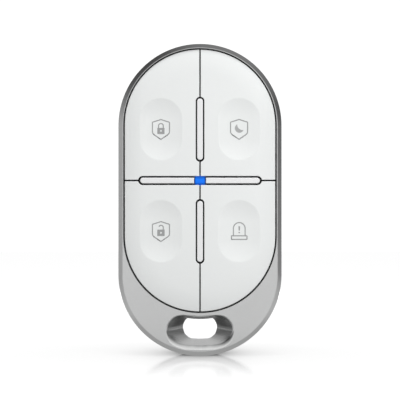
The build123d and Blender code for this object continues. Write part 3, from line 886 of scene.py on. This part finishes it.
def shield():
    right = [(0.0, 2.10), (0.95, 1.79), (1.70, 1.56), (1.80, 1.47), (1.80, -0.42), (1.76, -0.72), (1.60, -0.97),
             (1.30, -1.22), (0.0, -2.10)]
    return right + [(-x, z) for x, z in reversed(right[1:-1])]


def mark_arm(s, cx, cz):
    ink(s, stroke(shield(), LINE, closed=True), cx, cz)
    body = rounded(0.0, -0.32, 1.52, 1.30, 0.10, 4)[0]
    ink(s, [body, circle(0.0, -0.30, 0.20, 20)[0]], cx, cz)
    path = [(0.50, 0.30)] + arc_pts(0, 0.76, 0.50, -8, 188, 22) + [(-0.50, 0.30)]
    ink(s, stroke(path, LINE), cx, cz)


def mark_disarm(s, cx, cz):
    ink(s, stroke(shield(), LINE, closed=True), cx, cz)
    body = rounded(0.0, -0.27, 1.56, 1.36, 0.10, 4)[0]
    ink(s, [body, circle(0.0, -0.27, 0.20, 20)[0]], cx, cz)
    path = [(0.50, 0.38), (0.50, 0.62)] + arc_pts(0.03, 0.84, 0.47, 0, 158, 18)
    ink(s, stroke(path, LINE), cx, cz)


def mark_night(s, cx, cz):
    ink(s, stroke(shield(), LINE, closed=True), cx, cz)
    # a crescent: the part of one disc outside another
    ox, oz, r = 0.06, 0.24, 0.95
    qx, qz, q = 0.75, 1.01, 1.15
    d = math.hypot(qx - ox, qz - oz)
    base = math.atan2(qz - oz, qx - ox)
    h = math.acos((r * r + d * d - q * q) / (2 * r * d))
    g = math.acos((q * q + d * d - r * r) / (2 * q * d))
    outer = arc(ox, oz, r, base + h, base + 2 * math.pi - h, 48)[0]
    inner = arc(qx, qz, q, base + math.pi + g, base + math.pi - g, 28)[0]
    moon = Shape()
    ink(moon, [outer + inner[1:-1]], cx, cz)
    moon.make("mark_moon", [INK_LIGHT], "key_night")


def mark_panic(s, cx, cz):
    dome = [(1.24, -0.95), (1.24, 0.56)] + arc_pts(0, 0.56, 1.24, 4, 176, 30) + [(-1.24, 0.56), (-1.24, -0.95)]
    ink(s, stroke(densify(dome, 0.14, closed=False), LINE), cx, cz)
    ink(s, stroke(rounded(0.0, -1.37, 3.28, 0.76, 0.10, 3)[0], LINE, closed=True), cx, cz)
    ink(s, [[(0.17, 0.92), (0.16, 1.00), (-0.16, 1.00), (-0.17, 0.92), (-0.09, 0.08), (0.09, 0.08)]], cx, cz)
    ink(s, [circle(0.0, -0.30, 0.16, 18)[0]], cx, cz)


for key, draw in {"arm": mark_arm, "night": mark_night, "disarm": mark_disarm, "panic": mark_panic}.items():
    sx, upper = KEYS[key]
    s = Shape()
    cx = sx * 8.25 if key != "panic" else 8.29
    cz = {"arm": 47.88, "night": 47.90, "disarm": 26.32, "panic": 26.41}[key]
    draw(s, cx, cz)
    s.make("mark_" + key, [INK], "key_" + key)


# ---------------------------------------------------------------------------
# Dividers and status lens
# ---------------------------------------------------------------------------
def build_dividers():
    for name, span in (("upper", DIV_UP), ("lower", DIV_LOW)):
        s = Shape()
        outline = closed_segment(lambda t, a=span: pill(DIV_HALF - t, a[0] + DIV_HALF, a[1] - DIV_HALF, 12, 20))
        # below the skirt depth the bar's walls are near-black: painted shade in the grooves round it
        slab(s, outline, -6.0, -4.10, r0=0.16, n=5, skirt=0.22)
        for z in (span[0] + 2.6, span[1] - 2.6):
            tube(s, 0, z, 0.45, -4.2, -3.3, n=20, slot=1)
        s.make("divider_bar_" + name, [BAR, PAINTED_GROOVE_SHADE], "fob", ["divider_" + name])
    for name, sx in (("left", -1), ("right", 1)):
        s = Shape()
        cx = DIV_X[1] - CROSS_HALF

        def outline(t):
            h = CROSS_HALF - t
            segs = [line((DIV_X[0] + t, -h), (cx, -h), (0, -1), 20), arc(cx, 0, h, -math.pi / 2, math.pi / 2, 24),
                    line((cx, h), (DIV_X[0] + t, h), (0, 1), 20), line((DIV_X[0] + t, h), (DIV_X[0] + t, -h), (-1, 0), 6)]
            return [([(sx * u, Z_CROSS + w) for u, w in p], [(sx * a, b) for a, b in m]) for p, m in segs]
        # below the skirt depth the bar's walls are near-black: painted shade in the grooves round it
        slab(s, outline, -6.0, -4.45, r0=0.16, n=5, skirt=0.22)
        # foot, clear of the lens flange
        x0, x1 = sorted((sx * 2.0, sx * 12.1))
        brick(s, x0, x1, -4.5, -4.10, Z_CROSS - 0.58, Z_CROSS + 0.58, slot=1)
        for x in (3.6, 10.2):
            tube(s, sx * x, Z_CROSS, 0.45, -4.2, -3.3, n=20, slot=1)
        s.make("divider_bar_" + name, [BAR, PAINTED_GROOVE_SHADE], "fob", ["divider_" + name])


build_dividers()


def build_lens():
    s = Shape()
    head = closed_segment(lambda t: rounded(0, Z_CROSS, 2 * (LENS_X - t), 2 * (LENS_Z - t), 0.20 - t * 0.5, 6))
    slab(s, head, -5.98, -4.26, r0=0.12, n=5)
    # thin flange, clear of the keys when they are pressed
    brick(s, -1.7, 1.7, -4.26, -4.10, Z_CROSS - 1.15, Z_CROSS + 1.15)
    brick(s, -1.0, 1.0, -4.10, -1.8, Z_CROSS - 0.6, Z_CROSS + 0.6)
    return s.make("status_light_pipe", [LENS], "fob", ["status_lens"])


build_lens()


# ---------------------------------------------------------------------------
# Rear cover and its screws (built towards -Y and mirrored to the back)
# ---------------------------------------------------------------------------
def build_cover():
    s = Shape(flip=True)
    outline = closed_segment(lambda t: pill(R_COVER - t))
    label = closed_segment(lambda t: rounded(0, 41.0, 17.0 - 2 * t, 22.0 - 2 * t, 2.0 - t, 12))
    seats = [(sx * 10.4, 16.6) for sx in (-1, 1)]
    c = 0.06
    holes = [rounded(0, 41.0, 17.0 + 2 * c, 22.0 + 2 * c, 2.0 + c, 12)[0]] + [circle(x, z, 1.9 + c)[0] for x, z in seats]
    low = [circle(x, z, 1.10)[0] for x, z in seats]
    slab(s, outline, -6.0, -4.9, r0=0.25, n=6, holes0=holes, holes1=low)
    # label field, with a softly rounded edge
    rows, nn = [], []
    for k in range(4):
        a = k / 3 * math.pi / 2
        p, m = rounded(0, 41.0, 17.0 + 2 * c * (1 - math.sin(a)), 22.0 + 2 * c * (1 - math.sin(a)), 2.0 + c * (1 - math.sin(a)), 12)
        rows.append(at(p, -6.0 + c * (1 - math.cos(a))))
        nn.append(tilt(m, -math.sin(a), math.cos(a)))
    p, m = rounded(0, 41.0, 17.0, 22.0, 2.0, 12)
    rows.append(at(p, -5.88))
    nn.append(tilt(m, -1, 0))
    s.rings(rows, nn)
    cap(s, [p], flat(-5.88), FRONT)
    # counterbored screw seats
    for x, z in seats:
        rows, nn = [], []
        for k in range(4):
            a = k / 3 * math.pi / 2
            p, m = circle(x, z, 1.9 + c * (1 - math.sin(a)))
            rows.append(at(p, -6.0 + c * (1 - math.cos(a))))
            nn.append(tilt(m, -math.sin(a), math.cos(a)))
        p, m = circle(x, z, 1.9)
        rows.append(at(p, -5.14))
        nn.append(tilt(m, -1, 0))
        s.rings(rows, nn)
        q, mq = circle(x, z, 1.10)
        cap(s, [p, q], flat(-5.14), FRONT)
        wall(s, q, mq, -5.14, -4.9, outward=False)
    # skirt inside the cavity, and two tongues at the top
    a, ma = pill(R_CAVITY - 0.15)
    b, mb = pill(R_CAVITY - 1.1)
    wall(s, a, ma, -5.0, -4.05)
    wall(s, b, mb, -5.0, -4.05, outward=False)
    cap(s, [a, b], flat(-5.0), FRONT)
    cap(s, [a, b], flat(-4.05), BACK)
    for x in (-5.0, 5.0):
        brick(s, x - 1.2, x + 1.2, -4.40, -3.70, 61.9, 63.65)
        brick(s, x - 1.2, x + 1.2, -4.95, -3.75, 61.9, 62.6)
    return s.make("rear_cover_plate", [COVER], "fob", ["rear_cover"])


def build_screws():
    s = Shape(flip=True)
    for sx in (-1, 1):
        x, z = sx * 10.4, 16.6
        outline = closed_segment(lambda t: circle(x, z, 1.75 - t))
        w, r = 0.30, 1.05
        cross = [(r, w), (w, w), (w, r), (-w, r), (-w, w), (-r, w), (-r, -w), (-w, -w), (-w, -r), (w, -r), (w, -w), (r, -w)]
        turn = math.radians(18 if sx < 0 else 52)
        cross = [(x + a * math.cos(turn) - b * math.sin(turn), z + a * math.sin(turn) + b * math.cos(turn)) for a, b in cross]
        slab(s, outline, -5.86, -5.16, r0=0.21, n=5, holes0=[cross])
        # recess: walls that lean in, and a floor, in a darker metal that paints the shade in the recess
        mid = np.array((x, z))
        deep = [tuple(mid + (np.array(p) - mid) * 0.78) for p in cross]
        for i in range(len(cross)):
            j = (i + 1) % len(cross)
            e = np.subtract(cross[j], cross[i])
            n = np.array((e[1], -e[0])) / np.linalg.norm(e)
            if np.dot(n, (np.array(cross[i]) + cross[j]) / 2 - mid) > 0:
                n = -n
            n3 = (n[0] * 0.95, -0.3, n[1] * 0.95)
            s.face([(cross[i][0], -5.86, cross[i][1]), (cross[j][0], -5.86, cross[j][1]),
                    (deep[j][0], -5.44, deep[j][1]), (deep[i][0], -5.44, deep[i][1])], [n3] * 4, 1)
        cap(s, [deep], flat(-5.44), FRONT, slot=1)
        tube(s, x, z, 0.95, -5.2, -0.6, n=24)
    return s.make("cover_screw_pair", [SCREW, PAINTED_RECESS_SHADE], "fob", ["cover_screws"])


build_cover()
build_screws()


# ---------------------------------------------------------------------------
# Materials of the inner parts, which keep their CAD shapes
# ---------------------------------------------------------------------------
def board_material():
    n = Nodes("board_solder_mask")
    x, y, z = n.xyz()
    grid = n.add("ShaderNodeTexBrick")
    for k, v in (("Scale", 1.0), ("Mortar Size", 0.00009), ("Mortar Smooth", 0.2), ("Brick Width", 0.0032), ("Row Height", 0.0011)):
        grid.inputs[k].default_value = v
    turn = n.add("ShaderNodeMapping")
    turn.inputs["Rotation"].default_value = (math.pi / 2, 0, 0)
    n.link(n.coord, turn.inputs["Vector"])
    n.link(turn.outputs["Vector"], grid.inputs["Vector"])
    mask = n.ramp(n.noise(260.0, 2.0), [(0.48, (0, 0, 0)), (0.52, (1, 1, 1))])
    trace = n.math("MULTIPLY", grid.outputs["Fac"], mask)
    cloud = n.ramp(n.noise(700.0, 3.0), [(0.3, (0.012, 0.12, 0.05)), (0.7, (0.02, 0.17, 0.075))])
    colour = n.mix(trace, cloud, (0.03, 0.27, 0.11))
    rough = n.remap(n.noise(2500.0), 0.3, 0.7, 0.28, 0.42)
    return n.set(Base_Color=colour, Roughness=rough, Normal=n.bump(trace, 0.4, 2e-5))


INNER = {
    "dark_plastic": plastic("deck_matte_black", (0.018, 0.018, 0.020), 0.62, vary=0.15),
    "black_rubber": plastic("gasket_black_rubber", (0.022, 0.022, 0.022), 0.75, grain=5000.0, vary=0.2),
    "grey_silicone": plastic("silicone_grey", (0.23, 0.24, 0.25), 0.55, vary=0.06),
    "screw_steel": SCREW,
    "switch_metal": metal("switch_stamped_sheet", (0.60, 0.60, 0.59), 0.32, stretch=(6, 1, 1)),
    "contact_metal": metal("contact_nickel_plate", (0.66, 0.64, 0.60), 0.26, stretch=(1, 1, 5)),
    "cell_steel": metal("cell_bright_can", (0.62, 0.62, 0.62), 0.22, stretch=(8, 1, 1)),
    "board_green": board_material(),
    "chip_black": plastic("chip_moulded_package", (0.02, 0.02, 0.021), 0.6, grain=14000.0, grain_strength=0.5, vary=0.2),
    "chip_ceramic": plastic("fired_ceramic", (0.34, 0.26, 0.19), 0.5, vary=0.12),
    "copper_wire": metal("antenna_enamelled_wire", (0.72, 0.36, 0.20), 0.25, stretch=(1, 3, 1)),
    "led_package": plastic("led_clear_package", (0.80, 0.80, 0.74), 0.2, vary=0.04),
    "black_foam": plastic("cell_foam", (0.035, 0.035, 0.036), 0.95, grain=2500.0, grain_depth=6e-5, grain_strength=0.8, vary=0.35),
}
NODE_SLOT = {
    "button_deck": "dark_plastic", "key_mat": "grey_silicone", "cover_gasket": "black_rubber", "switch_bases": "dark_plastic",
    "switch_covers": "switch_metal", "circuit_board": "board_green", "radio_chip": "chip_black", "crystal": "switch_metal",
    "antenna": "copper_wire", "status_led": "led_package", "small_parts": "chip_ceramic", "board_screws": "screw_steel",
    "battery_holder": "dark_plastic", "contact_negative": "contact_metal", "contact_positive": "contact_metal",
    "coin_cell": "cell_steel", "cell_pad": "black_foam",
}
for node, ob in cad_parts.items():
    if ob.hide_render:
        continue
    slot = NODE_SLOT.get(node)
    if slot is None:
        slot = "grey_silicone" if node.startswith("pad_") else "switch_metal" if node.startswith("snap_dome") else "dark_plastic"
    ob.data.materials.clear()
    ob.data.materials.append(INNER[slot])


# ---------------------------------------------------------------------------
# Floor, light and camera
# ---------------------------------------------------------------------------
def floor_material():
    n = Nodes("studio_floor_white")
    n.tree.nodes.remove(n.bsdf)
    x, y, z = n.xyz()
    radius = n.math("SQRT", n.math("ADD", n.math("MULTIPLY", x, x), n.math("MULTIPLY", y, y)))
    cloud = n.ramp(n.noise(3.0, 2.0), [(0.3, grey(FLOOR_LIT * 0.995)), (0.7, grey(FLOOR_LIT * 1.005))])
    diffuse = n.add("ShaderNodeBsdfDiffuse")
    n.link(cloud, diffuse.inputs["Color"])
    # a polish that fades with the distance
    polish = n.remap(radius, 0.014, 0.075, FLOOR_GLOSS[0], FLOOR_GLOSS[1], "SMOOTHSTEP")
    polish = n.math("MULTIPLY", polish, n.remap(radius, 0.009, 0.023, 0.66, 1.0, "SMOOTHSTEP"))
    gloss = n.add("ShaderNodeBsdfGlossy")
    gloss.inputs["Roughness"].default_value = 0.085
    gloss.inputs["Color"].default_value = (1, 1, 1, 1)
    mix = n.add("ShaderNodeMixShader")
    n.link(polish, mix.inputs[0])
    n.link(diffuse.outputs[0], mix.inputs[1])
    n.link(gloss.outputs[0], mix.inputs[2])
    # the floor's own brightness, with a painted shadow: a soft dark spot where the object stands
    u = n.math("DIVIDE", x, 0.0041)
    v = n.math("DIVIDE", n.math("SUBTRACT", y, 0.0049), 0.0079)
    away = n.math("SQRT", n.math("ADD", n.math("MULTIPLY", u, u), n.math("MULTIPLY", v, v)))
    painted_shadow = n.math("MULTIPLY", n.math("EXPONENT", n.math("MULTIPLY", away, -1.0)), FLOOR_PAINTED_SHADOW)
    lift = n.remap(radius, 0.02, 0.078, FLOOR_GLOW[0], FLOOR_GLOW[1], "SMOOTHSTEP")
    own = n.math("SUBTRACT", n.math("SUBTRACT", lift, n.math("MULTIPLY", polish, 0.57)), painted_shadow)
    own = n.math("MAXIMUM", own, 0.0)
    glow = n.add("ShaderNodeEmission", name="floor_glow")
    glow.inputs["Color"].default_value = (1, 1, 1, 1)
    n.link(own, glow.inputs["Strength"])
    seen = n.add("ShaderNodeAddShader")
    n.link(mix.outputs[0], seen.inputs[0])
    n.link(glow.outputs[0], seen.inputs[1])
    # what the floor gives back to the object: near it, and in the four quarters farther out; the lower levels near the
    # object and behind it are a painted shadow of the object on the floor
    ahead = n.remap(x, -0.01, 0.01, FLOOR_FILL["front_left"], FLOOR_FILL["front_right"], "SMOOTHSTEP")
    behind = n.remap(x, -0.01, 0.01, FLOOR_FILL["back_left"], FLOOR_FILL["back_right"], "SMOOTHSTEP")
    turn = n.remap(y, -0.006, 0.006, 0.0, 1.0, "SMOOTHSTEP")
    far = n.math("ADD", n.math("MULTIPLY", ahead, n.math("SUBTRACT", 1.0, turn)), n.math("MULTIPLY", behind, turn))
    near = n.remap(y, -0.006, 0.006, FLOOR_FILL["near_front"], FLOOR_FILL["near_back"], "SMOOTHSTEP")
    out = n.remap(radius, 0.018, 0.034, 0.0, 1.0, "SMOOTHSTEP")
    fill = n.math("ADD", n.math("MULTIPLY", near, n.math("SUBTRACT", 1.0, out)), n.math("MULTIPLY", far, out))
    beyond = n.remap(y, 0.08, 0.17, 0.0, 1.0, "SMOOTHSTEP")
    fill = n.math("ADD", n.math("MULTIPLY", fill, n.math("SUBTRACT", 1.0, beyond)), n.math("MULTIPLY", beyond, FLOOR_FILL["far_back"]))
    bounce = n.add("ShaderNodeEmission", name="floor_fill")
    n.link(fill, bounce.inputs["Strength"])
    path = n.add("ShaderNodeLightPath")
    last = n.add("ShaderNodeMixShader")
    n.link(path.outputs["Is Camera Ray"], last.inputs[0])
    n.link(bounce.outputs[0], last.inputs[1])
    n.link(seen.outputs[0], last.inputs[2])
    n.link(last.outputs[0], n.out.inputs["Surface"])
    return n.mat


FLOOR_LIT, FLOOR_GLOW, FLOOR_GLOSS, FLOOR_PAINTED_SHADOW = 0.13, (0.86, 0.945), (0.57, 0.05), 1.79
# the low near and back levels are painted floor shadow of the object
FLOOR_FILL = {"near_front": 0.45, "near_back": 0.065, "front_left": 0.68, "front_right": 0.69, "back_left": 0.17, "back_right": 0.26,
              "far_back": 0.60}


def grey(v):
    return (v, v, v, 1)


def build_floor():
    me = bpy.data.meshes.new("floor")
    r, n = 0.9, 12
    co = [(-r + 2 * r * i / n, -r + 2 * r * j / n, 0) for j in range(n + 1) for i in range(n + 1)]
    faces = [(j * (n + 1) + i, j * (n + 1) + i + 1, (j + 1) * (n + 1) + i + 1, (j + 1) * (n + 1) + i) for j in range(n) for i in range(n)]
    me.from_pydata(co, [], faces)
    me.materials.append(floor_material())
    ob = bpy.data.objects.new("studio_floor", me)
    scene.collection.objects.link(ob)


build_floor()


def build_world(table):
    """A pale studio: plain white behind the object, and soft panels of different brightness for its light.
    The table gives the level in front, on four rings of twelve directions about the Y axis, and behind."""
    world = bpy.data.worlds.get("studio") or bpy.data.worlds.new("studio")
    scene.world = world
    world.use_nodes = True
    t = world.node_tree
    t.nodes.clear()

    def add(kind, **kw):
        nd = t.nodes.new(kind)
        for k, v in kw.items():
            setattr(nd, k, v)
        return nd

    def mth(op, a, b=None):
        m = add("ShaderNodeMath", operation=op)
        for k, v in enumerate((a, b)):
            if v is None:
                continue
            if isinstance(v, (int, float)):
                m.inputs[k].default_value = v
            else:
                t.links.new(v, m.inputs[k])
        return m.outputs[0]

    def span(value, a, b):
        m = add("ShaderNodeMapRange")
        m.inputs["From Min"].default_value = a
        m.inputs["From Max"].default_value = b
        t.links.new(value, m.inputs["Value"])
        return m.outputs[0]

    co = add("ShaderNodeTexCoord")
    sep = add("ShaderNodeSeparateXYZ")
    t.links.new(co.outputs["Generated"], sep.inputs[0])
    x, y, z = sep.outputs
    turn = span(mth("ARCTAN2", z, x), -math.pi, math.pi)      # 0 left, 0.25 down, 0.5 right, 0.75 up
    off = mth("ARCCOSINE", mth("MULTIPLY", y, -1.0))          # angle from the camera's side
    rings = [[table["front"]] * 12] + list(table["rings"]) + [[table["back"]] * 12]
    total = None
    for k, levels in enumerate(rings):
        if len(set(levels)) == 1:
            level = levels[0]
        else:
            ramp = add("ShaderNodeValToRGB")
            el = ramp.color_ramp.elements
            while len(el) < 13:
                el.new(0.5)
            for i, e in enumerate(el):
                e.position = i / 12
                e.color = grey(levels[i % 12])
            t.links.new(turn, ramp.inputs[0])
            level = ramp.outputs[0]
        here = math.radians(RING_AT[k])
        share = None
        if k:
            share = span(off, math.radians(RING_AT[k - 1]), here)
        if k < len(rings) - 1:
            fall = span(off, math.radians(RING_AT[k + 1]), here)
            share = fall if share is None else mth("MINIMUM", share, fall)
        part = mth("MULTIPLY", share, level)
        total = part if total is None else mth("ADD", total, part)
    lit = add("ShaderNodeBackground")
    t.links.new(total, lit.inputs["Color"])
    lit.inputs["Strength"].default_value = 1.0
    white = add("ShaderNodeBackground")
    white.inputs["Color"].default_value = grey(1.0)
    white.inputs["Strength"].default_value = SEEN_WHITE
    path = add("ShaderNodeLightPath")
    mix = add("ShaderNodeMixShader")
    t.links.new(path.outputs["Is Camera Ray"], mix.inputs[0])
    t.links.new(lit.outputs[0], mix.inputs[1])
    t.links.new(white.outputs[0], mix.inputs[2])
    out = add("ShaderNodeOutputWorld")
    t.links.new(mix.outputs[0], out.inputs["Surface"])


SEEN_WHITE = 1.1
RING_AT = (0, 30, 60, 90, 125, 180)
# each ring starts at the left and runs over the bottom, the right and the top
LEVELS = {
    "front": 1.17,
    "rings": [
        [0.29, 0.44, 0.53, 0.57, 0.58, 0.56, 0.51, 0.70, 0.91, 0.90, 0.56, 0.32],
        [0.14, 0.25, 0.30, 0.30, 0.28, 0.21, 0.12, 0.25, 0.47, 0.48, 0.13, 0.05],
        [0.77, 0.54, 0.39, 0.29, 0.20, 0.11, 0.01, 0.17, 0.25, 0.22, 0.00, 0.09],
        [0.00, 0.10, 0.14, 0.14, 0.11, 0.07, 0.02, 0.09, 0.20, 0.24, 0.26, 0.02],
    ],
    "back": 0.75,
}
build_world(LEVELS)


def softbox(name, where, aim, size, power, glossy=True, size_y=None):
    light = bpy.data.lights.new(name, "AREA")
    light.shape = "RECTANGLE" if size_y else "DISK"
    light.size = size
    if size_y:
        light.size_y = size_y
    light.energy = power
    ob = bpy.data.objects.new(name, light)
    ob.location = where
    ob.rotation_euler = (Vector(aim) - Vector(where)).to_track_quat("-Z", "Y").to_euler()
    ob.visible_camera = False
    ob.visible_glossy = glossy
    scene.collection.objects.link(ob)
    return ob


SIDE_POWER, TOP_POWER = 0.085, 2.08
softbox("side_soft", (0.10, -0.12, 0.06), (0, 0, 0.036), 0.06, SIDE_POWER, glossy=False)
softbox("back_soft", (0.0, 0.32, 0.05), (0, 0.006, 0.033), 0.08, 0.34, glossy=False)
softbox("overhead_soft", (0.0, -0.14, 0.55), (0, 0.012, 0.0), 0.24, TOP_POWER, glossy=False)

CAM_Y, CAM_Z = -0.450, 0.03298
cam_data = bpy.data.cameras.new("camera")
cam = bpy.data.objects.new("camera", cam_data)
scene.collection.objects.link(cam)
cam.location = (0, CAM_Y, CAM_Z)
cam.rotation_euler = (math.pi / 2, 0, 0)
cam_data.sensor_width = 36.0
cam_data.lens = 36.0 * (0.450 - 0.0059) / 0.08442
cam_data.clip_start = 0.01
cam_data.clip_end = 50.0
scene.camera = cam
scene.view_settings.view_transform = "Standard"
scene.view_settings.look = "None"
scene.view_settings.exposure = 0.0
scene.view_settings.gamma = 1.0

bpy.context.view_layer.update()
